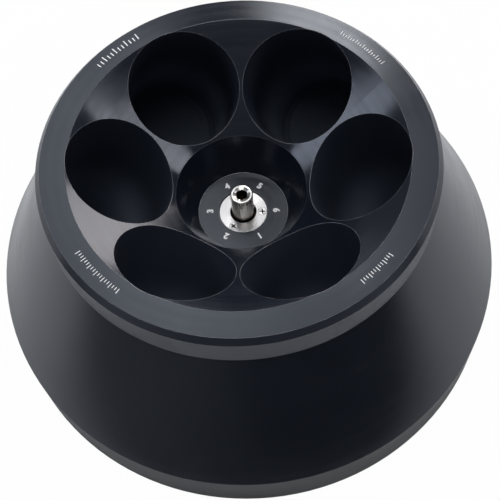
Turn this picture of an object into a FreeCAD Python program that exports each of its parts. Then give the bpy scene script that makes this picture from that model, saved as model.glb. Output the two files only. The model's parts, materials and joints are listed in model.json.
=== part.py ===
import FreeCAD, Part
import math
import os

# Fixed angle rotor for six large bottles, with its clamp screw and hub.
# Millimetres. The rotor axis is Z, the base stands on Z = 0 and the first bottle bore lies towards +X.

# Rotor body, outside
base_diameter = 293.0
total_height = 132.0
base_band_height = 32.3
base_edge_bevel = 1.0
rim_diameter = 211.2
rim_wall_height = 16.9
rim_bevel_height = 3.5
rim_bevel_width = 2.8

# Dish inside the rim, and the pocket in its middle
dish_diameter = 178.4
dish_angle = 35.0
pocket_mouth_diameter = 72.4
pocket_floor_diameter = 51.0
pocket_depth = 22.1

# Bottle bores
bottle_count = 6
bottle_diameter = 62.0
bottle_clearance = 0.25
bottle_tilt = 25.0
bottle_circle_radius = 63.6
bottle_bore_depth = 106.5
bottle_corner_round = 8.0
bottle_corner_facets = 3

# Underside
recess_wall = 7.0
recess_height = 40.0
recess_corner_bevel = 3.0
hub_ledge_width = 12.0
hub_face_height = 14.0

# Drive shaft and its cross pin, which belong to the centrifuge
shaft_diameter = 20.0
shaft_clearance = 0.02
drive_pin_diameter = 6.0
drive_pin_clearance = 0.15
drive_slot_length = 30.0
drive_slot_depth = 8.0
journal_length = 26.0

# Steel sleeve in the hub
sleeve_diameter = 32.0
sleeve_flange_diameter = 64.0
sleeve_flange_thickness = 9.0
sleeve_web_thickness = 5.3
web_hole_diameter = 14.4
relief_diameter = 21.6
seat_clearance = 0.02
lead_in = 0.8

# Screws that hold the sleeve's flange
hub_screw_count = 3
hub_screw_start = 90.0
hub_screw_diameter = 5.0
hub_screw_head_diameter = 8.5
hub_screw_head_height = 5.0
hub_screw_length = 16.0
hub_screw_socket = 4.0
hub_screw_socket_depth = 2.5
hub_screw_sink = 0.4
hub_screw_head_play = 0.2

# Ring that traps the clamp screw
ring_diameter = 27.4
ring_side_gap = 0.3
ring_hole_diameter = 14.8
ring_thickness = 4.0
ring_sink = 0.9
ring_edge_break = 0.2

# Countersunk screws in the ring
ring_screw_count = 3
ring_screw_circle_diameter = 21.7
ring_screw_diameter = 2.5
ring_screw_head_diameter = 4.9
ring_screw_length = 10.0
cross_recess_width = 0.75
cross_recess_span = 2.7
cross_recess_depth = 1.0

# Clamp screw, its collar and what turns on it
clamp_head_diameter = 12.4
clamp_head_rise = 19.1
clamp_head_bevel = 0.5
clamp_socket = 6.0
clamp_socket_depth = 7.0
clamp_socket_lead = 1.4
clamp_socket_lead_angle = 25.0
clamp_collar_diameter = 17.2
clamp_collar_thickness = 4.0
clamp_thread_diameter = 10.0
clamp_thread_length = 20.0
lift_travel = 1.6
collar_side_gap = 0.3
washer_thickness = 2.0
washer_side_gap = 0.2
snap_ring_diameter = 13.0
snap_ring_thickness = 1.0
snap_ring_groove = 0.7
snap_ring_play = 0.2
snap_ring_mouth = 5.0

# Magnets that tell the centrifuge which rotor is fitted
magnet_count = 2
magnet_diameter = 6.0
magnet_length = 5.0
magnet_wall = 3.0

# Play left around a screw's thread and under its head
thread_play = 0.05

# Heights and radii that follow from the sizes above
dish_rise = math.tan(math.radians(dish_angle))
rim_radius = rim_diameter / 2
dish_radius = dish_diameter / 2
bottle_radius = bottle_diameter / 2 + bottle_clearance
tilt = math.radians(bottle_tilt)


def dish_height(radius):
    """Height of the dish's cone at a distance from the rotor axis."""
    return total_height - (dish_radius - radius) * dish_rise


pocket_floor = dish_height(pocket_mouth_diameter / 2) - pocket_depth
ring_top = pocket_floor - ring_sink
ring_bottom = ring_top - ring_thickness
collar_top = ring_bottom - lift_travel
collar_bottom = collar_top - clamp_collar_thickness
sleeve_top = collar_bottom - washer_thickness
flange_top = hub_face_height + sleeve_flange_thickness
shaft_stop = sleeve_top - sleeve_web_thickness
chamber_radius = clamp_collar_diameter / 2 + collar_side_gap
flange_radius = sleeve_flange_diameter / 2
hub_radius = flange_radius + hub_ledge_width
hub_screw_circle = (sleeve_diameter / 2 + flange_radius) / 2
ring_screw_circle = ring_screw_circle_diameter / 2
magnet_circle = flange_radius + magnet_wall + magnet_diameter / 2
up = FreeCAD.Vector(0, 0, 1)
origin = FreeCAD.Vector(0, 0, 0)


def bevelled(corners):
    """Points of a closed outline in the XZ plane. A corner is (radius, height) or (radius, height, bevel)."""
    points = [FreeCAD.Vector(corner[0], 0, corner[1]) for corner in corners]
    outline = []
    for i, corner in enumerate(corners):
        if len(corner) == 2:
            outline.append(points[i])
            continue
        for neighbour in (points[i - 1], points[(i + 1) % len(points)]):
            outline.append(points[i] + (neighbour - points[i]).normalize() * corner[2])
    return outline


def turned(corners):
    """Solid turned about Z from an outline on one side of the axis."""
    outline = bevelled(corners)
    return Part.Face(Part.makePolygon(outline + outline[:1])).revolve(origin, up, 360)


def cylinder(diameter, bottom, top):
    return Part.makeCylinder(diameter / 2, top - bottom, FreeCAD.Vector(0, 0, bottom), up)


def at_radius(shape, radius, angle):
    """Copy of a shape that stands on the rotor axis, moved out to a radius and then round to an angle."""
    moved = shape.copy()
    moved.translate(FreeCAD.Vector(radius, 0, 0))
    moved.rotate(origin, up, angle)
    return moved


def hexagon(across_flats, bottom, top):
    corner = across_flats / 2 / math.cos(math.pi / 6)
    corners = [
        FreeCAD.Vector(corner * math.cos(math.radians(a)), corner * math.sin(math.radians(a)), bottom)
        for a in range(30, 390, 60)
    ]
    return Part.Face(Part.makePolygon(corners + corners[:1])).extrude(up * (top - bottom))


def even_angles(count, start=0.0):
    return [start + 360.0 * i / count for i in range(count)]


def bottle_shape(radius, corner, length):
    """Plug with a bottle's outline, standing on its own bottom, its round corner made of small facets."""
    turns = [math.pi / 2 * i / bottle_corner_facets for i in range(bottle_corner_facets + 1)]
    rounding = [(radius - corner + corner * math.sin(t), corner - corner * math.cos(t)) for t in turns]
    return turned([(0, 0)] + rounding + [(radius, length), (0, length)])


def bottle_bore():
    """Space of the bore towards +X, leaning in at the top and running out through the dish."""
    above = bottle_circle_radius
    bore = bottle_shape(bottle_radius, bottle_corner_round, bottle_bore_depth + above)
    bore.translate(FreeCAD.Vector(0, 0, -bottle_bore_depth))
    bore.rotate(origin, FreeCAD.Vector(0, 1, 0), -bottle_tilt)
    bore.translate(FreeCAD.Vector(bottle_circle_radius, 0, dish_height(bottle_circle_radius)))
    return bore


def recess_radius(height):
    """Radius of the underside recess, which runs parallel to the bores' inner walls."""
    reach = bottle_radius + recess_wall
    top_radius = bottle_circle_radius - reach * math.cos(tilt)
    top_height = dish_height(bottle_circle_radius) - reach * math.sin(tilt)
    return top_radius + (top_height - height) * math.tan(tilt)


def rotor_body():
    body = turned([
        (flange_radius + seat_clearance, hub_face_height),
        (hub_radius, hub_face_height),
        (hub_radius, recess_height, recess_corner_bevel),
        (recess_radius(recess_height), recess_height, recess_corner_bevel),
        (recess_radius(0), 0, base_edge_bevel),
        (base_diameter / 2, 0, base_edge_bevel),
        (base_diameter / 2, base_band_height),
        (rim_radius, total_height - rim_bevel_height - rim_wall_height),
        (rim_radius, total_height - rim_bevel_height),
        (rim_radius - rim_bevel_width, total_height),
        (dish_radius, total_height),
        (pocket_mouth_diameter / 2, dish_height(pocket_mouth_diameter / 2)),
        (pocket_floor_diameter / 2, pocket_floor),
        (ring_diameter / 2 + ring_side_gap, pocket_floor),
        (ring_diameter / 2 + ring_side_gap, ring_bottom),
        (chamber_radius, ring_bottom),
        (chamber_radius, sleeve_top),
        (sleeve_diameter / 2 + seat_clearance, sleeve_top),
        (sleeve_diameter / 2 + seat_clearance, flange_top),
        (flange_radius + seat_clearance, flange_top),
    ])
    body = at_radius(body, 0, 180 / bottle_count)  # turned faces begin and end between two bores
    bore = bottle_bore()
    holes = [at_radius(bore, 0, angle) for angle in even_angles(bottle_count)]
    tip = ring_top - ring_screw_length
    thread = cylinder(ring_screw_diameter + 2 * thread_play, tip - ring_screw_diameter / 2, ring_bottom)
    holes += [at_radius(thread, ring_screw_circle, a) for a in even_angles(ring_screw_count)]
    tip = hub_face_height + hub_screw_sink + hub_screw_head_height + hub_screw_length
    thread = cylinder(hub_screw_diameter + 2 * thread_play, flange_top, tip + hub_screw_diameter / 2)
    holes += [at_radius(thread, hub_screw_circle, a) for a in even_angles(hub_screw_count, hub_screw_start)]
    pocket = cylinder(magnet_diameter + 2 * seat_clearance, hub_face_height, hub_face_height + magnet_length)
    holes += [at_radius(pocket, magnet_circle, a) for a in even_angles(magnet_count)]
    return body.cut(holes)


def hub_sleeve():
    shaft_radius = shaft_diameter / 2 + shaft_clearance
    sleeve = turned([
        (shaft_radius + lead_in, hub_face_height),
        (flange_radius, hub_face_height),
        (flange_radius, flange_top),
        (sleeve_diameter / 2, flange_top),
        (sleeve_diameter / 2, sleeve_top),
        (web_hole_diameter / 2, sleeve_top),
        (web_hole_diameter / 2, shaft_stop),
        (relief_diameter / 2, shaft_stop),
        (relief_diameter / 2, hub_face_height + journal_length),
        (shaft_radius, hub_face_height + journal_length),
        (shaft_radius, hub_face_height + lead_in),
    ])
    slot_width = drive_pin_diameter + 2 * drive_pin_clearance
    slot = Part.makeBox(drive_slot_length, slot_width, drive_slot_depth - slot_width / 2)
    slot.translate(FreeCAD.Vector(-drive_slot_length / 2, -slot_width / 2, hub_face_height))
    crown = Part.makeCylinder(slot_width / 2, drive_slot_length, origin, FreeCAD.Vector(1, 0, 0))
    crown.translate(FreeCAD.Vector(-drive_slot_length / 2, 0, hub_face_height + drive_slot_depth - slot_width / 2))
    seat = hub_face_height + hub_screw_sink + hub_screw_head_height
    head_space = cylinder(hub_screw_head_diameter + 2 * hub_screw_head_play, hub_face_height, seat)
    step = head_space.fuse(cylinder(hub_screw_diameter + 2 * thread_play, seat, flange_top))
    holes = [at_radius(step, hub_screw_circle, a) for a in even_angles(hub_screw_count, hub_screw_start)]
    return sleeve.cut([slot.fuse(crown)] + holes)


def hub_screw():
    """Socket head screw, head down, standing on the rotor axis."""
    head_bottom = hub_face_height + hub_screw_sink
    head_top = head_bottom + hub_screw_head_height
    tip = head_top + hub_screw_length
    screw = turned([
        (0, head_bottom),
        (hub_screw_head_diameter / 2, head_bottom),
        (hub_screw_head_diameter / 2, head_top),
        (hub_screw_diameter / 2, head_top),
        (hub_screw_diameter / 2, tip),
        (0, tip),
    ])
    return screw.cut(hexagon(hub_screw_socket, head_bottom, head_bottom + hub_screw_socket_depth))


def countersink_depth():
    """Depth of a ninety degree head below the ring's top face."""
    return (ring_screw_head_diameter - ring_screw_diameter) / 2


def retaining_ring():
    ring = turned([
        (ring_hole_diameter / 2, ring_bottom),
        (ring_diameter / 2, ring_bottom),
        (ring_diameter / 2, ring_top - ring_edge_break),
        (ring_diameter / 2 - ring_edge_break, ring_top),
        (ring_hole_diameter / 2 + ring_edge_break, ring_top),
        (ring_hole_diameter / 2, ring_top - ring_edge_break),
    ])
    hole_radius = ring_screw_diameter / 2 + thread_play
    mouth_radius = ring_screw_head_diameter / 2 + thread_play
    hole = turned([
        (0, ring_bottom),
        (hole_radius, ring_bottom),
        (hole_radius, ring_top - countersink_depth()),
        (mouth_radius, ring_top),
        (0, ring_top),
    ])
    return ring.cut([at_radius(hole, ring_screw_circle, a) for a in even_angles(ring_screw_count)])


def ring_screw():
    """Countersunk screw with a cross recess, standing on the rotor axis with its head flush in the ring."""
    head_top = ring_top - thread_play
    tip = head_top - ring_screw_length
    screw = turned([
        (0, tip),
        (ring_screw_diameter / 2, tip),
        (ring_screw_diameter / 2, head_top - countersink_depth()),
        (ring_screw_head_diameter / 2, head_top),
        (0, head_top),
    ])
    half, tip_half, span = cross_recess_width / 2, cross_recess_width / 4, cross_recess_span / 2
    blade = Part.Face(Part.makePolygon([
        FreeCAD.Vector(-span, 0, head_top),
        FreeCAD.Vector(-tip_half, 0, head_top - cross_recess_depth),
        FreeCAD.Vector(tip_half, 0, head_top - cross_recess_depth),
        FreeCAD.Vector(span, 0, head_top),
        FreeCAD.Vector(-span, 0, head_top),
    ])).extrude(FreeCAD.Vector(0, cross_recess_width, 0))
    blade.translate(FreeCAD.Vector(0, -half, 0))
    across = blade.copy()
    across.rotate(origin, up, 90)
    return screw.cut([blade, across])


def clamp_screw():
    """Screw that pulls the rotor down on the shaft, with the collar that lifts it off again."""
    head_top = ring_top + clamp_head_rise
    thread_radius = clamp_thread_diameter / 2
    thread_tip = collar_bottom - clamp_thread_length
    groove_top = sleeve_top - snap_ring_play
    groove_bottom = groove_top - snap_ring_thickness
    groove_radius = thread_radius - snap_ring_groove
    screw = turned([
        (0, thread_tip),
        (thread_radius - snap_ring_groove, thread_tip),
        (thread_radius, thread_tip + snap_ring_groove),
        (thread_radius, groove_bottom),
        (groove_radius, groove_bottom),
        (groove_radius, groove_top),
        (thread_radius, groove_top),
        (thread_radius, collar_bottom),
        (clamp_collar_diameter / 2, collar_bottom),
        (clamp_collar_diameter / 2, collar_top),
        (clamp_head_diameter / 2, collar_top),
        (clamp_head_diameter / 2, head_top - clamp_head_bevel),
        (clamp_head_diameter / 2 - clamp_head_bevel, head_top),
        (0, head_top),
    ])
    lead_radius = clamp_socket / 2 / math.cos(math.pi / 6) + clamp_socket_lead
    lead = turned([
        (0, head_top - lead_radius * math.tan(math.radians(clamp_socket_lead_angle))),
        (lead_radius, head_top),
        (0, head_top),
    ])
    return screw.cut([hexagon(clamp_socket, head_top - clamp_socket_depth, head_top), lead])


def thrust_washer():
    bore = clamp_thread_diameter + 2 * washer_side_gap
    return cylinder(clamp_collar_diameter, sleeve_top, collar_bottom).cut(cylinder(bore, sleeve_top, collar_bottom))


def washer_snap_ring():
    """Open ring in the screw's groove that keeps the washer on the screw."""
    top = sleeve_top - snap_ring_play
    bottom = top - snap_ring_thickness
    ring = cylinder(snap_ring_diameter, bottom, top).cut(
        cylinder(clamp_thread_diameter - 2 * snap_ring_groove, bottom, top))
    mouth = Part.makeBox(snap_ring_diameter, snap_ring_mouth, snap_ring_thickness)
    mouth.translate(FreeCAD.Vector(0, -snap_ring_mouth / 2, bottom))
    return ring.cut(mouth)


def magnet():
    return cylinder(magnet_diameter, hub_face_height, hub_face_height + magnet_length)


def save(name, shape):
    shape.exportStep("parts/" + name + ".step")
    box = shape.BoundBox
    print(name, "solids", len(shape.Solids), "valid", shape.isValid(), "cm3", round(shape.Volume / 1000, 2),
          "z", round(box.ZMin, 2), round(box.ZMax, 2))


def save_set(name, shape, radius, angles):
    for number, angle in enumerate(angles, 1):
        save(name + "_" + str(number), at_radius(shape, radius, angle))


os.makedirs("parts", exist_ok=True)
save("rotor_body", rotor_body())
save("hub_sleeve", hub_sleeve())
save("retaining_ring", retaining_ring())
save("clamp_screw", clamp_screw())
save("thrust_washer", thrust_washer())
save("washer_snap_ring", washer_snap_ring())
save_set("ring_screw", ring_screw(), ring_screw_circle, even_angles(ring_screw_count))
save_set("hub_screw", hub_screw(), hub_screw_circle, even_angles(hub_screw_count, hub_screw_start))
save_set("code_magnet", magnet(), magnet_circle, even_angles(magnet_count))
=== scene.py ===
import json
import math

import bmesh
import bpy
from mathutils import Matrix, Vector

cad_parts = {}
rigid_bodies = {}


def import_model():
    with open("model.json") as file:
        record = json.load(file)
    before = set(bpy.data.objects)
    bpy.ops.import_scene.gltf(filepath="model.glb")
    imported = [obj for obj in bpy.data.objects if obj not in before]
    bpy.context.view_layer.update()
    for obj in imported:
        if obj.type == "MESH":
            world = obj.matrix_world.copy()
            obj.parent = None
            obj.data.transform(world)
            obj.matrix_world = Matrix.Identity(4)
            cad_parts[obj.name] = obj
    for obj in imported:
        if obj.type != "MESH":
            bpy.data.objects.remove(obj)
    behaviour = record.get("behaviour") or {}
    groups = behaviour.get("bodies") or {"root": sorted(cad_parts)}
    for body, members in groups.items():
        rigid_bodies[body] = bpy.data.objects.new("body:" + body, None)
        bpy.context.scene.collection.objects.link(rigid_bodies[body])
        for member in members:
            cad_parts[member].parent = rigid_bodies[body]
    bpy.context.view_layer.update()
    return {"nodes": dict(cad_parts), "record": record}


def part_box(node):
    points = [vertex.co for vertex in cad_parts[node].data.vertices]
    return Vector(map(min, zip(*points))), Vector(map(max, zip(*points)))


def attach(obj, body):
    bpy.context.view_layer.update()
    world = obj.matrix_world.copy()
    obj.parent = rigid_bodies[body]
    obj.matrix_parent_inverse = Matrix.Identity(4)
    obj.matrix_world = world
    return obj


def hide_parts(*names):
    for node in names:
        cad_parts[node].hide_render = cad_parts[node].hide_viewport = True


mm = 0.001
white = (1.0, 1.0, 1.0)
black = (0.0, 0.0, 0.0)
pocketFloor = 72.79  # mm from the base to the floor of the hub pocket

for leftover in list(bpy.data.objects):  # the start-up cube, lamp and camera
    bpy.data.objects.remove(leftover)

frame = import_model()
nodes = frame["nodes"]
mounts = {mount["name"]: mount for mount in frame["record"]["mounts"]}
slotOf = {part["node"]: part["material_slot"] for part in frame["record"]["subparts"]}
boreCount = sum(name.startswith("bottle_bore") for name in mounts)
print("frame loaded:", len(nodes), "solids")


# small helpers for building node trees

def feed(tree, socket, value):
    if value is None:
        return
    if isinstance(value, bpy.types.NodeSocket):
        tree.links.new(value, socket)
    else:
        socket.default_value = value


def calc(tree, operation, first, second=None, third=None, clamp=False):
    node = tree.nodes.new("ShaderNodeMath")
    node.operation = operation
    node.use_clamp = clamp
    for socket, value in zip(node.inputs, (first, second, third)):
        feed(tree, socket, value)
    return node.outputs[0]


def vectorCalc(tree, operation, first, second=None):
    node = tree.nodes.new("ShaderNodeVectorMath")
    node.operation = operation
    feed(tree, node.inputs[0], first)
    feed(tree, node.inputs[1], second)
    return node.outputs["Value" if operation in ("LENGTH", "DOT_PRODUCT") else "Vector"]


def combine(tree, x=0.0, y=0.0, z=0.0):
    node = tree.nodes.new("ShaderNodeCombineXYZ")
    for socket, value in zip(node.inputs, (x, y, z)):
        feed(tree, socket, value)
    return node.outputs[0]


def splitPoint(tree, point):
    node = tree.nodes.new("ShaderNodeSeparateXYZ")
    feed(tree, node.inputs[0], point)
    return node.outputs


def ramp(tree, value, low, high, fromValue=0.0, toValue=1.0):
    # smooth step of value between low and high
    node = tree.nodes.new("ShaderNodeMapRange")
    node.interpolation_type = "SMOOTHSTEP"
    for name, number in (("Value", value), ("From Min", low), ("From Max", high),
                         ("To Min", fromValue), ("To Max", toValue)):
        feed(tree, node.inputs[name], number)
    return node.outputs["Result"]


def rampMm(tree, value, span, fromValue=0.0, toValue=1.0):
    # the same over a span given in mm
    return ramp(tree, value, span[0] * mm, span[1] * mm, fromValue, toValue)


midSpan = (0.3, 0.7)  # where most of a noise lies


def vary(tree, value, pattern, amount):
    # moves a value up and down by an amount, as the pattern goes
    return calc(tree, "ADD", value, ramp(tree, pattern, *midSpan, -amount, amount))


def noise(tree, vector, scale, detail, roughness):
    node = tree.nodes.new("ShaderNodeTexNoise")
    feed(tree, node.inputs["Vector"], vector)
    feed(tree, node.inputs["Scale"], scale)
    feed(tree, node.inputs["Detail"], detail)
    feed(tree, node.inputs["Roughness"], roughness)
    return node.outputs["Fac"]


def toned(colour, tone):
    return [tone * channel for channel in colour]


def mixColour(tree, factor, first, second):
    node = tree.nodes.new("ShaderNodeMix")
    node.data_type = "RGBA"
    feed(tree, node.inputs["Factor"], factor)
    for name, colour in (("A", first), ("B", second)):
        linked = isinstance(colour, bpy.types.NodeSocket)
        feed(tree, node.inputs[name], colour if linked else (*colour, 1.0))
    return node.outputs["Result"]


def layOver(tree, share, below, above):
    # shows one shader over another on the material's surface
    mix = tree.nodes.new("ShaderNodeMixShader")
    for socket, value in zip(mix.inputs, (share, below.outputs[0], above.outputs[0])):
        feed(tree, socket, value)
    feed(tree, tree.nodes["Material Output"].inputs["Surface"], mix.outputs[0])


def newMaterial(name):
    material = bpy.data.materials.new(name)
    material.use_nodes = True
    return material, material.node_tree, material.node_tree.nodes["Principled BSDF"]


def objectPoint(tree):
    return tree.nodes.new("ShaderNodeTexCoord").outputs["Object"]


def axisDistance(tree, x, y):
    return vectorCalc(tree, "LENGTH", combine(tree, x, y))


def turnedPlace(tree, centre=(0.0, 0.0)):
    # the point as seen from a turning axis, its x and y, distance from the axis, and height
    point = objectPoint(tree)
    if centre != (0.0, 0.0):
        point = vectorCalc(tree, "SUBTRACT", point, (*centre, 0.0))
    x, y, height = splitPoint(tree, point)
    return point, x, y, axisDistance(tree, x, y), height


softEdges = {
    "samples": 6,
    "cosines": (0.995, 0.90),  # between the flat and the softened normal: mask off, mask full
}


def edgeMask(tree, width):
    # 1 on a sharp edge and 0 a width away from it, with the softened normal
    soft = tree.nodes.new("ShaderNodeBevel")
    soft.samples = softEdges["samples"]
    feed(tree, soft.inputs["Radius"], width)
    flat = tree.nodes.new("ShaderNodeNewGeometry").outputs["Normal"]
    cosine = vectorCalc(tree, "DOT_PRODUCT", soft.outputs[0], flat)
    return ramp(tree, cosine, *softEdges["cosines"]), soft.outputs[0]


def bump(tree, height, strength, depth, normal=None):
    node = tree.nodes.new("ShaderNodeBump")
    feed(tree, node.inputs["Strength"], strength)
    feed(tree, node.inputs["Distance"], depth)
    feed(tree, node.inputs["Height"], height)
    feed(tree, node.inputs["Normal"], normal)
    return node.outputs[0]


def setAround(tree, shader, stretch):
    # highlights stretch across the turning lines
    tangent = tree.nodes.new("ShaderNodeTangent")
    tangent.direction_type = "RADIAL"
    tangent.axis = "Z"
    feed(tree, shader.inputs["Tangent"], tangent.outputs[0])
    shader.inputs["Anisotropic"].default_value = stretch
    shader.inputs["Anisotropic Rotation"].default_value = 0.25  # a quarter turn from the tangent


# camera, as the photograph was taken

view = {
    "place": (0.0271509, -0.2722744, 0.5430201),
    "aim": (0.00167, 0.0, 0.02434),
    "tilt": -5.54,      # degrees about the line of sight
    "lens": 68.68,
    "sensor": 36.0,
    "nearest": 0.01,    # metres, closer things are clipped
}


def makeCamera():
    data = bpy.data.cameras.new("camera")
    data.lens = view["lens"]
    data.sensor_width = view["sensor"]
    data.clip_start = view["nearest"]
    camera = bpy.data.objects.new("camera", data)
    bpy.context.scene.collection.objects.link(camera)
    place = Vector(view["place"])
    turn = (Vector(view["aim"]) - place).to_track_quat("-Z", "Y").to_matrix()
    turn = turn @ Matrix.Rotation(math.radians(view["tilt"]), 3, "Z")
    camera.matrix_world = Matrix.Translation(place) @ turn.to_4x4()
    bpy.context.scene.camera = camera
    print("camera in place")


# pale table, soft boxes and a dark card on the table, seen only in reflections as a painted dark
# reflection

studio = {
    "middle": (0.0, 0.0, 0.1),
    "reach": 2.0,                   # metres from the middle to each soft box
    "coolTone": (0.90, 0.93, 1.0),
    "surround": 0.17,               # brightness of the room overhead
    "horizon": 0.9,                 # and level with the table
    "horizonFade": (0.02, 0.15),    # sine of the elevation where one turns into the other
    "tableSize": 40.0,              # metres
    "tableHeight": -0.05,           # mm, just under the base
    "tableWhite": 0.8,
    "tableRoughness": 0.9,
    "tableGlow": 0.98,              # share of the table that is plain white to the camera
    "glossGlow": 0.42,              # share of it that is cool white in reflections
    "baseShade": (0.150, 0.185),    # metres from the axis where they turn from dark to pale
    "shadeDepth": 0.35,             # share of black in them beside the base
    "cardHeight": 1.0,              # mm
    "cardNear": 0.08,               # metres in front of the axis where the card fades in
    "cardSolid": 0.20,              # and where it is solid
    "cardRound": (0.18, 0.225),     # the table stays pale this close to the base
    "cardFar": 5.8,                 # metres in front of the axis where it ends
    "cardWide": 5.8,                # and to either side
    "cardTones": (0.24, 0.05),      # its faint glow, left and right of the middle
    "cardBlend": (-0.20, 0.08),     # metres across where one turns into the other
}

# azimuth, elevation, width and height in degrees, brightness, then colour
softBoxes = {
    "backStripBox": (85.0, 31.5, 8, 43, 9.0, (1.0, 0.99, 0.98)),
    "lowRightBox": (62, 18, 24, 26, 5.5, (1.0, 0.93, 0.90)),
    "topLeftBox": (113, 58, 16, 26, 2.0, (0.94, 0.97, 1.0)),
    "topMiddleBox": (96, 69.5, 20, 13, 0.95, (0.94, 0.97, 1.0)),
    "topRightBox": (78, 61, 12, 14, 1.35, (0.96, 0.98, 1.0)),
    "overheadBox": (-90, 84, 22, 22, 6.0, (1.0, 1.0, 1.0)),
    "leftBox": (174, 36, 22, 12, 4.3, (0.84, 0.89, 1.0)),
    "rightBox": (3, 39, 22, 12, 4.6, (0.97, 0.96, 1.0)),
}


def makeSoftBox(name, azimuth, elevation, wide, high, brightness, colour):
    reach = studio["reach"]
    data = bpy.data.lights.new(name, "AREA")
    data.shape = "RECTANGLE"
    data.size = 2 * reach * math.tan(math.radians(wide / 2))
    data.size_y = 2 * reach * math.tan(math.radians(high / 2))
    data.energy = math.pi * data.size * data.size_y * brightness
    data.color = colour
    lamp = bpy.data.objects.new(name, data)
    bpy.context.scene.collection.objects.link(lamp)
    around, up = math.radians(azimuth), math.radians(elevation)
    outward = Vector((math.cos(up) * math.cos(around),
                      math.cos(up) * math.sin(around), math.sin(up)))
    lamp.location = Vector(studio["middle"]) + reach * outward
    lamp.rotation_euler = outward.to_track_quat("Z", "Y").to_euler()
    lamp.visible_camera = False


def makeSheet(name, corners, height):
    mesh = bpy.data.meshes.new(name)
    mesh.from_pydata([(x, y, height) for x, y in corners], [], [(0, 1, 2, 3)])
    sheet = bpy.data.objects.new(name, mesh)
    bpy.context.scene.collection.objects.link(sheet)
    return sheet


def makeTable():
    half = studio["tableSize"] / 2
    corners = [(-half, -half), (half, -half), (half, half), (-half, half)]
    table = makeSheet("table", corners, studio["tableHeight"] * mm)
    material, tree, shader = newMaterial("pale table")
    shader.inputs["Base Color"].default_value = (*[studio["tableWhite"]] * 3, 1.0)
    shader.inputs["Roughness"].default_value = studio["tableRoughness"]
    shader.inputs["Specular IOR Level"].default_value = 0.0
    rays = tree.nodes.new("ShaderNodeLightPath").outputs
    toCamera = rays["Is Camera Ray"]
    mirrored = calc(tree, "ADD", rays["Is Glossy Ray"], rays["Is Transmission Ray"], clamp=True)
    x, y = splitPoint(tree, objectPoint(tree))[:2]
    distance = axisDistance(tree, x, y)
    # painted shadow: in reflections the table turns black beside the base
    share = ramp(tree, distance, *studio["baseShade"], studio["shadeDepth"], studio["glossGlow"])
    share = calc(tree, "MULTIPLY", mirrored, share)
    share = calc(tree, "MULTIPLY_ADD", toCamera, studio["tableGlow"], share)
    shadowedGlow = mixColour(tree, ramp(tree, distance, *studio["baseShade"]), black, studio["coolTone"])
    glow = tree.nodes.new("ShaderNodeEmission")
    feed(tree, glow.inputs["Color"], mixColour(tree, toCamera, shadowedGlow, white))
    layOver(tree, share, shader, glow)
    table.data.materials.append(material)


def makeReflectionCard():
    # a painted dark reflection: seen only in reflections, with a faint cool glow, it stands in for
    # the dark side of the studio in the cone's reflection, with a soft near edge
    wide, near, far = studio["cardWide"], studio["cardNear"], studio["cardFar"]
    corners = [(-wide, -far), (wide, -far), (wide, -near), (-wide, -near)]
    card = makeSheet("dark reflection card", corners, studio["cardHeight"] * mm)
    material, tree, shader = newMaterial("dark reflection card")
    tree.nodes.remove(shader)
    x, y = splitPoint(tree, objectPoint(tree))[:2]
    tone = tree.nodes.new("ShaderNodeEmission")
    tone.inputs["Color"].default_value = (*studio["coolTone"], 1.0)
    feed(tree, tone.inputs["Strength"], ramp(tree, x, *studio["cardBlend"], *studio["cardTones"]))
    solid = calc(tree, "MULTIPLY", ramp(tree, y, -near, -studio["cardSolid"]),
                 ramp(tree, axisDistance(tree, x, y), *studio["cardRound"]))
    layOver(tree, solid, tree.nodes.new("ShaderNodeBsdfTransparent"), tone)
    card.data.materials.append(material)
    card.visible_camera = False
    card.visible_diffuse = False
    card.visible_transmission = False
    card.visible_shadow = False


def makeSurround():
    # pale level with the table and dim overhead, and plain white where the camera sees it
    world = bpy.data.worlds.new("studio")
    bpy.context.scene.world = world
    world.use_nodes = True
    tree = world.node_tree
    way = splitPoint(tree, tree.nodes.new("ShaderNodeTexCoord").outputs["Generated"])
    bright = ramp(tree, way["Z"], *studio["horizonFade"], studio["horizon"], studio["surround"])
    toCamera = tree.nodes.new("ShaderNodeLightPath").outputs["Is Camera Ray"]
    backdrop = tree.nodes["Background"].inputs
    feed(tree, backdrop["Strength"], calc(tree, "MAXIMUM", bright, toCamera))
    feed(tree, backdrop["Color"], mixColour(tree, toCamera, studio["coolTone"], white))


# black anodised aluminium of the body

anodised = {
    "colour": (0.0062, 0.0085, 0.0145),
    "cloudTones": (0.8, 1.25),         # darkest and lightest, times the colour
    # painted light: the upright wall under the rim is paler than the rest of the body
    "wallPaintedLight": (0.068, 0.073, 0.084),
    # painted light in the bores: paler than the body, palest deep down where little light reaches,
    # darker again at the bottom
    "borePaintedLight": (0.024, 0.030, 0.046),
    "boreDeepPaintedLight": (0.125, 0.150, 0.205),
    "boreBottomPaintedLight": (0.034, 0.042, 0.062),
    "floorShadeTone": 0.5,                  # hub floor, times the colour, painted shade in the pocket
    "speckColour": (0.10, 0.10, 0.11),
    "speckShare": 0.12,
    "speckSpan": (0.66, 0.78),         # of the grain
    # edges are paler, partly worn anodising and partly a painted highlight
    "edgeWearAndHighlight": (0.42, 0.42, 0.44),
    "edgeWear": (0.45, 1.0),           # least and most of it along an edge
    "rubbedSpan": (0.35, 0.62),        # of its noise
    "edgeWidth": 0.42,                 # mm
    "sheen": (0.86, 0.91, 1.0),        # colour of its reflections
    "ior": 1.53,
    "roughness": 0.19,
    "boreRoughness": 0.45,
    "deepRoughness": 0.35,             # added deep in a bore
    "dishRoughness": 0.17,
    "floorRoughness": 0.16,
    "lineVary": 0.03,                  # roughness, up and down
    "bandVary": 0.02,
    "cloudVary": 0.025,
    "stretch": 0.45,
    "linePitch": 0.30,                 # mm between turning lines
    "lineBump": 0.10,
    "grainBump": 0.12,
    "bumpDepth": 0.01,                 # mm
}

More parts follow.
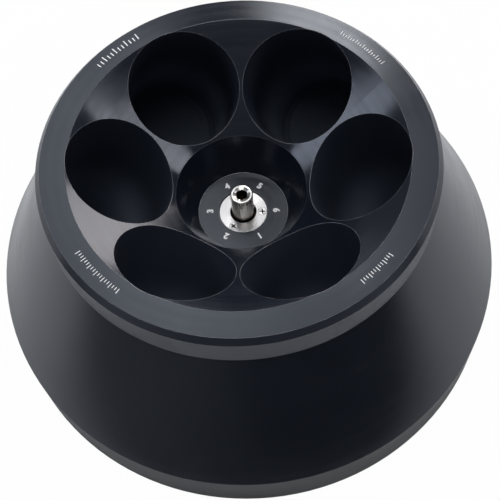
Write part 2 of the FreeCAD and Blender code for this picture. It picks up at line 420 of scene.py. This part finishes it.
# scale, detail and roughness; the first three scales are divided by the line pitch
anodisedNoise = {
    "lines": (1.0, 3.0, 0.6),
    "boreLines": (0.7, 2.0, 0.5),
    "bands": (0.12, 2.0, 0.5),
    "grain": (1800.0, 2.0, 0.6),
    "cloud": (28.0, 3.0, 0.55),
    "rubbed": (90.0, 4.0, 0.7),
}

# where each finish of the body fades in, from none to full, in mm
zones = {
    "boreSkin": (0.12, 0.02),       # out from the bore's wall
    "boreReach": (-61.8, -61.6),    # along the bore, up from its mount, as the next two
    "boreDeep": (12.0, -35.0),
    "boreBottom": (-48.0, -60.0),
    "rimInner": (105.48, 105.55),   # radius, from both sides of the upright wall under the rim
    "rimOuter": (105.75, 105.65),
    "rimHeight": (100.0, 111.0),
    "dishRadius": (89.2, 89.0),
    "dishHeight": (80.0, 85.0),
    "floorRadius": (25.5, 25.3),
    "floorHeight": (0.2, 0.1),      # off the floor of the hub pocket
}


def boreDistance(tree, x, y, radius, height):
    # distance from the nearest bore's axis, with the bores folded into one, and place along it
    mount = mounts["bottle_bore_1"]
    folded = calc(tree, "PINGPONG", calc(tree, "ARCTAN2", y, x), math.pi / boreCount)
    even = combine(tree, calc(tree, "MULTIPLY", radius, calc(tree, "COSINE", folded)),
                   calc(tree, "MULTIPLY", radius, calc(tree, "SINE", folded)), height)
    offset = vectorCalc(tree, "SUBTRACT", even, tuple(mount["pos_m"]))
    axis = tuple(mount["axis"])
    across = vectorCalc(tree, "LENGTH", vectorCalc(tree, "CROSS_PRODUCT", offset, axis))
    return across, vectorCalc(tree, "DOT_PRODUCT", offset, axis), mount["dims"]["r_mm"]


def turnedNoise(tree, vector, name):
    scale, detail, roughness = anodisedNoise[name]
    return noise(tree, vector, scale / (anodised["linePitch"] * mm), detail, roughness)


def makeAnodised():
    material, tree, shader = newMaterial("black anodised")
    point, x, y, radius, height = turnedPlace(tree)
    across, along, boreRadius = boreDistance(tree, x, y, radius, height)

    # inside the bores the colour is painted light, paler than the body and palest deep down
    boreSkin = [boreRadius + step for step in zones["boreSkin"]]
    inBore = calc(tree, "MULTIPLY", rampMm(tree, across, boreSkin),
                  rampMm(tree, along, zones["boreReach"]))
    deep = calc(tree, "MULTIPLY", inBore, rampMm(tree, along, zones["boreDeep"]))
    bottom = calc(tree, "MULTIPLY", inBore, rampMm(tree, along, zones["boreBottom"]))

    # painted light on the upright wall under the rim
    onRimWall = calc(tree, "MULTIPLY", rampMm(tree, radius, zones["rimInner"]),
                     rampMm(tree, radius, zones["rimOuter"]))
    onRimWall = calc(tree, "MULTIPLY", onRimWall, rampMm(tree, height, zones["rimHeight"]))

    inDish = calc(tree, "MULTIPLY", rampMm(tree, radius, zones["dishRadius"]),
                  rampMm(tree, height, zones["dishHeight"]))
    # painted shade on the floor of the hub pocket
    offFloor = calc(tree, "ABSOLUTE", calc(tree, "SUBTRACT", height, pocketFloor * mm))
    onFloor = calc(tree, "MULTIPLY", rampMm(tree, radius, zones["floorRadius"]),
                   rampMm(tree, offFloor, zones["floorHeight"]))

    # turning lines follow the profile outside, and the bore's own axis inside
    profile = combine(tree, radius, height)
    notInBore = calc(tree, "SUBTRACT", 1.0, inBore)
    outsideLines = turnedNoise(tree, profile, "lines")
    boreLines = turnedNoise(tree, combine(tree, across, along), "boreLines")
    lines = calc(tree, "ADD", calc(tree, "MULTIPLY", outsideLines, notInBore),
                 calc(tree, "MULTIPLY", boreLines, inBore))
    bands = turnedNoise(tree, profile, "bands")
    grain = noise(tree, point, *anodisedNoise["grain"])
    cloud = noise(tree, point, *anodisedNoise["cloud"])
    rubbed = noise(tree, point, *anodisedNoise["rubbed"])

    # paler edges, worn anodising and a painted highlight along them
    edge, softNormal = edgeMask(tree, anodised["edgeWidth"] * mm)
    wear = ramp(tree, rubbed, *anodised["rubbedSpan"], *anodised["edgeWear"])
    edge = calc(tree, "MULTIPLY", edge, wear)
    speck = ramp(tree, grain, *anodised["speckSpan"], 0.0, anodised["speckShare"])

    dark, pale = [toned(anodised["colour"], tone) for tone in anodised["cloudTones"]]
    colour = mixColour(tree, cloud, dark, pale)
    for mask, paint in (
            (onRimWall, anodised["wallPaintedLight"]),
            (inBore, anodised["borePaintedLight"]),
            (deep, anodised["boreDeepPaintedLight"]),
            (bottom, anodised["boreBottomPaintedLight"]),
            (onFloor, toned(anodised["colour"], anodised["floorShadeTone"])),
            (speck, anodised["speckColour"]),
            (edge, anodised["edgeWearAndHighlight"])):
        colour = mixColour(tree, mask, colour, paint)
    feed(tree, shader.inputs["Base Color"], colour)

    rough = plain = anodised["roughness"]
    for mask, step in (
            (inBore, anodised["boreRoughness"] - plain),
            (deep, anodised["deepRoughness"]),
            (inDish, anodised["dishRoughness"] - plain),
            (onFloor, anodised["floorRoughness"] - plain)):
        rough = calc(tree, "MULTIPLY_ADD", mask, step, rough)
    rough = vary(tree, rough, lines, anodised["lineVary"])
    rough = vary(tree, rough, bands, anodised["bandVary"])
    feed(tree, shader.inputs["Roughness"], vary(tree, rough, cloud, anodised["cloudVary"]))

    depth = anodised["bumpDepth"] * mm
    normal = bump(tree, lines, anodised["lineBump"], depth, softNormal)
    feed(tree, shader.inputs["Normal"], bump(tree, grain, anodised["grainBump"], depth, normal))
    setAround(tree, shader, anodised["stretch"])
    shader.inputs["Specular Tint"].default_value = (*anodised["sheen"], 1.0)
    shader.inputs["IOR"].default_value = anodised["ior"]
    return material


# turned and ground steels, with their line pitch in mm

stainless = {"colour": (0.54, 0.525, 0.52), "roughness": 0.24, "stretch": 0.65,
             "linePitch": 0.12, "wear": 0.80}
clampSteel = {"colour": (0.76, 0.74, 0.71), "roughness": 0.22, "stretch": 0.75,
              "linePitch": 0.12, "wear": 0.80}
toolSteel = {"colour": (0.36, 0.355, 0.35), "roughness": 0.32, "stretch": 0.4,
             "linePitch": 0.20, "wear": 0.60}
blackScrew = {"colour": (0.030, 0.029, 0.030), "roughness": 0.42, "stretch": 0.0,
              "linePitch": 0.25, "wear": 0.30}
nickel = {"colour": (0.66, 0.64, 0.60), "roughness": 0.16, "stretch": 0.0,
          "linePitch": 0.40, "wear": 0.80}

# what all the steels share
steelFace = {
    "lineNoise": (3.0, 0.6),            # detail and roughness
    "smearNoise": (160.0, 3.0, 0.6),    # scale, detail and roughness
    "lineSpan": (0.35, 0.75),
    "dullTone": 0.93,                   # times the colour
    "lineTone": 0.7,
    "lineShare": 0.25,
    "lineVary": 0.03,                   # roughness, up and down
    "smearVary": 0.015,
    "edgeWidth": 0.12,                  # mm
    "lineBump": 0.10,
    "bumpDepth": 0.002,                 # mm
}

# painted shade down the gap round the clamp screw and in its hexagon socket, with painted
# reflection streaks and a darker tinge on the screw, in mm
shadeMarks = {
    "colour": (0.030, 0.020, 0.014),
    "gapRadius": (8.7, 7.45),
    "gapHeight": (72.6, 71.2),
    "socketRadius": (3.56, 3.50),
    "socketHeight": (90.2, 89.9),
    "tingeHeight": (80.0, 72.6),      # where the brown tinge on the screw grows
    "tingeRadius": (7.0, 6.4),
    "tingeShare": 0.30,
    "tingeColour": (0.30, 0.19, 0.11),
    "sideInner": (6.05, 6.15),        # the straight side of the head
    "sideOuter": (6.30, 6.24),
    "reflectionStreaks": 1.7,                   # how often they change in a radian round the screw
    "streakRun": 60.0,                # and in a metre of its height
    "streakNoise": (1.0, 2.0, 0.5),
    "streakSpan": (0.45, 0.60),
    "streakShare": 0.45,
    "paintedReflectionColour": (0.20, 0.17, 0.145),
}


def addShadeMarks(tree, x, y, radius, height, colour):
    # painted reflection streaks down the side of the head, then a darker brown tinge near the ring,
    # then painted shade in the gap and socket
    # painted reflection: dark streaks down the side of the head
    around = calc(tree, "MULTIPLY", calc(tree, "ARCTAN2", y, x), shadeMarks["reflectionStreaks"])
    run = calc(tree, "MULTIPLY", height, shadeMarks["streakRun"])
    reflectionStreaks = noise(tree, combine(tree, around, run), *shadeMarks["streakNoise"])
    reflectionStreaks = ramp(tree, reflectionStreaks, *shadeMarks["streakSpan"], 0.0, shadeMarks["streakShare"])
    onSide = calc(tree, "MULTIPLY", rampMm(tree, radius, shadeMarks["sideInner"]),
                  rampMm(tree, radius, shadeMarks["sideOuter"]))
    reflectionStreaks = calc(tree, "MULTIPLY", onSide, reflectionStreaks)
    colour = mixColour(tree, reflectionStreaks, colour, shadeMarks["paintedReflectionColour"])
    # the screw turns darker and browner towards the ring
    tingeMask = calc(tree, "MULTIPLY",
                 rampMm(tree, height, shadeMarks["tingeHeight"], 0.0, shadeMarks["tingeShare"]),
                 rampMm(tree, radius, shadeMarks["tingeRadius"]))
    colour = mixColour(tree, tingeMask, colour, shadeMarks["tingeColour"])
    # painted shade in the gap round the clamp screw and in its socket
    gap, socket = [calc(tree, "MULTIPLY", rampMm(tree, radius, shadeMarks[place + "Radius"]),
                        rampMm(tree, height, shadeMarks[place + "Height"]))
                   for place in ("gap", "socket")]
    return mixColour(tree, calc(tree, "MAXIMUM", gap, socket), colour, shadeMarks["colour"])


def addScrewShade(tree, radius, height, colour, head):
    # painted shade in the cross and in the fine gap round the head
    headRadius, top = head
    reach = [share * headRadius for share in ringScrew["crossShadeReach"]]
    depth = [top - step * mm for step in ringScrew["crossShadeDepth"]]
    rim = [headRadius - step * mm for step in ringScrew["rimShadeInset"]]
    cross = calc(tree, "MULTIPLY", ramp(tree, radius, *reach), ramp(tree, height, *depth))
    gap = ramp(tree, radius, *rim)
    return mixColour(tree, calc(tree, "MAXIMUM", cross, gap), colour, ringScrew["shadeMarks"])


def makeSteel(name, finish, centre=(0.0, 0.0), withShadeMarks=False, head=None):
    material, tree, shader = newMaterial(name)
    point, x, y, radius, height = turnedPlace(tree, centre)
    lines = noise(tree, combine(tree, radius, height), 1 / (finish["linePitch"] * mm),
                  *steelFace["lineNoise"])
    smear = noise(tree, point, *steelFace["smearNoise"])
    edge, softNormal = edgeMask(tree, steelFace["edgeWidth"] * mm)
    colour = mixColour(tree, ramp(tree, smear, *midSpan),
                       toned(finish["colour"], steelFace["dullTone"]), finish["colour"])
    colour = mixColour(tree, ramp(tree, lines, *steelFace["lineSpan"], 0.0, steelFace["lineShare"]),
                       colour, toned(finish["colour"], steelFace["lineTone"]))
    colour = mixColour(tree, edge, colour, [finish["wear"]] * 3)
    if withShadeMarks:
        colour = addShadeMarks(tree, x, y, radius, height, colour)
    if head:
        colour = addScrewShade(tree, radius, height, colour, head)
    feed(tree, shader.inputs["Base Color"], colour)
    shader.inputs["Metallic"].default_value = 1.0
    rough = vary(tree, finish["roughness"], lines, steelFace["lineVary"])
    feed(tree, shader.inputs["Roughness"], vary(tree, rough, smear, steelFace["smearVary"]))
    normal = bump(tree, lines, steelFace["lineBump"], steelFace["bumpDepth"] * mm, softNormal)
    feed(tree, shader.inputs["Normal"], normal)
    if finish["stretch"]:
        setAround(tree, shader, finish["stretch"])
    return material


def dress(name, material):
    mesh = nodes[name].data
    mesh.materials.clear()
    mesh.materials.append(material)


def dressSolids():
    finishes = {
        "black_anodised": makeAnodised(),
        "stainless": makeSteel("turned stainless", stainless),
        "tool_steel": makeSteel("ground steel", toolSteel),
        "black_screw": makeSteel("blackened steel", blackScrew),
        "nickel": makeSteel("nickel plate", nickel),
    }
    ownFinish = {"clamp_screw": makeSteel("clamp screw steel", clampSteel, withShadeMarks=True)}
    for name, slot in slotOf.items():
        dress(name, ownFinish.get(name, finishes[slot]))
    print("finishes on", len(slotOf), "solids")


# countersunk cross-recess screws of the hub ring, in mm

ringScrew = {
    "dish": 0.08,                 # how far the middle of the head lies below its rim
    "dishPoint": (0.5, 0.4),      # a point of it: shares of the head's radius and the dish
    "chamfer": 0.08,
    "coneTop": 0.22,              # below the top
    "coneBottom": 1.35,
    "shankShare": 0.62,           # of the head's radius
    "crossReach": 1.72,           # from the middle to the end of a wing
    "crossWing": 0.70,            # across a wing at the top
    "crossCorner": (1.45, 0.98),  # inner corner over half a wing, and its rounding
    "crossDepth": 1.25,
    "crossTaper": 0.55,           # part of the reach left at the bottom
    "crossTop": 0.3,              # how far the cutting tool stands over the head
    "crossFlare": 1.05,           # and how much wider it is there
    "rounds": 48,                 # corners round the head
    "turns": (4.0, 20.0, 45.0),   # degrees each screw stopped at
    # colour of the painted shade in the cross and round the head
    "shadeMarks": (0.055, 0.042, 0.034),
    "crossShadeReach": (0.80, 0.76),   # in the cross, shares of the head's radius
    "crossShadeDepth": (0.10, 0.13),   # below the top
    "rimShadeInset": (0.20, 0.10),     # in from the rim
}


def lathe(name, profile, rounds):
    mesh = bpy.data.meshes.new(name)
    piece = bpy.data.objects.new(name, mesh)
    bpy.context.scene.collection.objects.link(piece)
    shape = bmesh.new()
    rings = []
    for r, z in profile:
        if r == 0:
            rings.append([shape.verts.new((0, 0, z))])
        else:
            rings.append([shape.verts.new((r * math.cos(a), r * math.sin(a), z))
                          for a in (2 * math.pi * i / rounds for i in range(rounds))])
    for low, high in zip(rings, rings[1:]):
        for i in range(rounds):
            j = (i + 1) % rounds
            corners = [low[i % len(low)], low[j % len(low)],
                       high[j % len(high)], high[i % len(high)]]
            shape.faces.new(list(dict.fromkeys(corners)))
    bmesh.ops.recalc_face_normals(shape, faces=shape.faces)
    shape.to_mesh(mesh)
    shape.free()
    return piece


def crossTool():
    # tapered cross with a small round middle
    reach, wing = ringScrew["crossReach"] * mm, ringScrew["crossWing"] * mm / 2
    corner, rounding = ringScrew["crossCorner"][0] * wing, ringScrew["crossCorner"][1]
    outline = []
    for quarter in range(4):
        turn = Matrix.Rotation(math.radians(90 * quarter), 2)
        for place in ((reach, -wing), (reach, wing), (corner, wing),
                      (corner * rounding, corner * rounding)):
            outline.append(turn @ Vector(place))
    mesh = bpy.data.meshes.new("crossTool")
    shape = bmesh.new()
    loops = []
    for height, scale in ((ringScrew["crossTop"] * mm, ringScrew["crossFlare"]),
                          (-ringScrew["crossDepth"] * mm, ringScrew["crossTaper"])):
        loops.append([shape.verts.new((p.x * scale, p.y * scale, height)) for p in outline])
    shape.faces.new(loops[0])
    shape.faces.new(reversed(loops[1]))
    for i in range(len(outline)):
        j = (i + 1) % len(outline)
        shape.faces.new((loops[0][i], loops[0][j], loops[1][j], loops[1][i]))
    bmesh.ops.recalc_face_normals(shape, faces=shape.faces)
    shape.to_mesh(mesh)
    shape.free()
    tool = bpy.data.objects.new("crossTool", mesh)
    bpy.context.scene.collection.objects.link(tool)
    return tool


def finalMesh(piece):
    bpy.context.view_layer.update()
    graph = bpy.context.evaluated_depsgraph_get()
    return bpy.data.meshes.new_from_object(piece.evaluated_get(graph))


def cutCross(screw):
    tool = crossTool()
    cut = screw.modifiers.new("cross", "BOOLEAN")
    cut.operation = "DIFFERENCE"
    cut.object = tool
    cut.solver = "EXACT"
    mesh = finalMesh(screw)
    screw.modifiers.clear()
    screw.data = mesh
    bpy.data.objects.remove(tool)


def makeRingScrews():
    dish, chamfer = ringScrew["dish"] * mm, ringScrew["chamfer"] * mm
    coneTop, coneBottom = ringScrew["coneTop"] * mm, ringScrew["coneBottom"] * mm
    dishAcross, dishDown = ringScrew["dishPoint"]
    for number, turn in enumerate(ringScrew["turns"], 1):
        nodeName = f"ring_screw_{number}"
        low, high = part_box(nodeName)
        middle = (low + high) / 2
        headRadius = (high.x - low.x) / 2
        shank = ringScrew["shankShare"] * headRadius
        tall = high.z - low.z
        profile = [(0, -tall), (shank, -tall), (shank, -coneBottom), (headRadius, -coneTop),
                   (headRadius, -chamfer), (headRadius - chamfer, 0),
                   (dishAcross * headRadius, -dishDown * dish), (0, -dish)]
        screw = lathe(f"cross_screw_{number}", profile, ringScrew["rounds"])
        cutCross(screw)
        for face in screw.data.polygons:
            face.use_smooth = False
        screw.data.transform(Matrix.Translation((middle.x, middle.y, high.z))
                             @ Matrix.Rotation(math.radians(turn), 4, "Z"))
        screw.data.materials.clear()
        screw.data.materials.append(makeSteel(f"screw steel {number}", stainless,
                                              (middle.x, middle.y), head=(headRadius, high.z)))
        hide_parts(nodeName)
        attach(screw, "rotor")
    print("ring screws made")


# printed marks, in mm

marks = {
    "numberHeight": 3.6,
    "numberRadius": 18.7,      # from the axis
    "numberShare": 0.72,       # height of a digit as a share of its text size
    "numberSteps": 6,          # along each curve of a digit
    "boldness": 0.24,          # added round each stroke
    "paint": 0.03,             # thick
    "rimTop": 132.0,
    "shortTick": 0.66,         # share of a long one's length
    "longEvery": 3,            # every third tick is long
    "ink": (0.95, 0.95, 0.95),
    "wornTone": 0.94,          # times the ink
    "patchNoise": (900.0, 4.0, 0.7),    # scale, detail and roughness
    "patchSpan": (0.35, 0.65),
    "roughness": (0.48, 0.62),
    "pinNoise": (5200.0, 2.0, 0.6),     # pinholes
    "pinSpan": (0.68, 0.80),
    "pinShare": 0.3,
    "pinColour": (0.4, 0.4, 0.41),
    "pinBump": 0.3,
    "bumpDepth": 0.01,
}

# middle, half span and step in degrees, then inner radius, length and width in mm
tickRows = {
    "backLeft": (134.3, 8.25, 1.5, 94.9, 4.3, 0.62),
    "backRight": (45.0, 9.0, 1.0, 94.6, 2.7, 0.36),
    "frontRight": (-44.7, 6.0, 1.0, 94.7, 2.9, 0.40),
    "frontLeft": (-135.0, 9.0, 1.0, 94.7, 2.9, 0.40),
}


def makeInk():
    material, tree, shader = newMaterial("white print")
    point = objectPoint(tree)
    patch = noise(tree, point, *marks["patchNoise"])
    pin = noise(tree, point, *marks["pinNoise"])
    pinholes = ramp(tree, pin, *marks["pinSpan"], 0.0, marks["pinShare"])
    colour = mixColour(tree, ramp(tree, patch, *marks["patchSpan"]),
                       toned(marks["ink"], marks["wornTone"]), marks["ink"])
    colour = mixColour(tree, pinholes, colour, marks["pinColour"])
    feed(tree, shader.inputs["Base Color"], colour)
    feed(tree, shader.inputs["Roughness"], ramp(tree, patch, *midSpan, *marks["roughness"]))
    normal = bump(tree, pin, marks["pinBump"], marks["bumpDepth"] * mm)
    feed(tree, shader.inputs["Normal"], normal)
    return material


def joinPieces(name, pieces, material):
    shape = bmesh.new()
    for mesh in pieces:
        shape.from_mesh(mesh)
        bpy.data.meshes.remove(mesh)
    mesh = bpy.data.meshes.new(name)
    shape.to_mesh(mesh)
    shape.free()
    mesh.materials.clear()
    mesh.materials.append(material)
    for face in mesh.polygons:
        face.material_index = 0
    piece = bpy.data.objects.new(name, mesh)
    bpy.context.scene.collection.objects.link(piece)
    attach(piece, "rotor")
    return piece


def makeNumbers(ink):
    pieces = []
    for step in range(boreCount):
        text = bpy.data.curves.new("number", "FONT")
        text.body = str(boreCount - step)
        text.align_x = text.align_y = "CENTER"
        text.size = marks["numberHeight"] * mm / marks["numberShare"]
        text.offset = marks["boldness"] * mm
        text.extrude = marks["paint"] * mm / 2
        text.resolution_u = marks["numberSteps"]
        carrier = bpy.data.objects.new("number", text)
        bpy.context.scene.collection.objects.link(carrier)
        mesh = finalMesh(carrier)
        bpy.data.objects.remove(carrier)
        around = 2 * math.pi * step / boreCount
        place = Vector((math.cos(around), math.sin(around), 0)) * marks["numberRadius"] * mm
        place.z = (pocketFloor + marks["paint"] / 2) * mm
        mesh.transform(Matrix.Translation(place) @ Matrix.Rotation(around - math.pi / 2, 4, "Z"))
        pieces.append(mesh)
    joinPieces("position_numbers", pieces, ink)
    print("position numbers made")


def makeTicks(ink):
    pieces = []
    thick = marks["paint"] * mm
    for middle, half, step, start, tall, wide in tickRows.values():
        for number in range(round(2 * half / step) + 1):
            around = math.radians(middle - half + number * step)
            long = tall * mm * (1.0 if number % marks["longEvery"] == 0 else marks["shortTick"])
            place = (start * mm + long / 2, 0, marks["rimTop"] * mm + thick / 2)
            shape = bmesh.new()
            bmesh.ops.create_cube(shape, size=1.0)
            bmesh.ops.transform(shape, verts=shape.verts, matrix=(
                Matrix.Rotation(around, 4, "Z") @ Matrix.Translation(place)
                @ Matrix.Diagonal((long, wide * mm, thick, 1.0))))
            mesh = bpy.data.meshes.new("tick")
            shape.to_mesh(mesh)
            shape.free()
            pieces.append(mesh)
    joinPieces("rim_ticks", pieces, ink)
    print("rim ticks made")


makeCamera()
makeSurround()
makeTable()
makeReflectionCard()
for name, values in softBoxes.items():
    makeSoftBox(name, *values)
print("studio ready")

dressSolids()
makeRingScrews()
ink = makeInk()
makeNumbers(ink)
makeTicks(ink)

bpy.context.scene.view_settings.view_transform = "Standard"
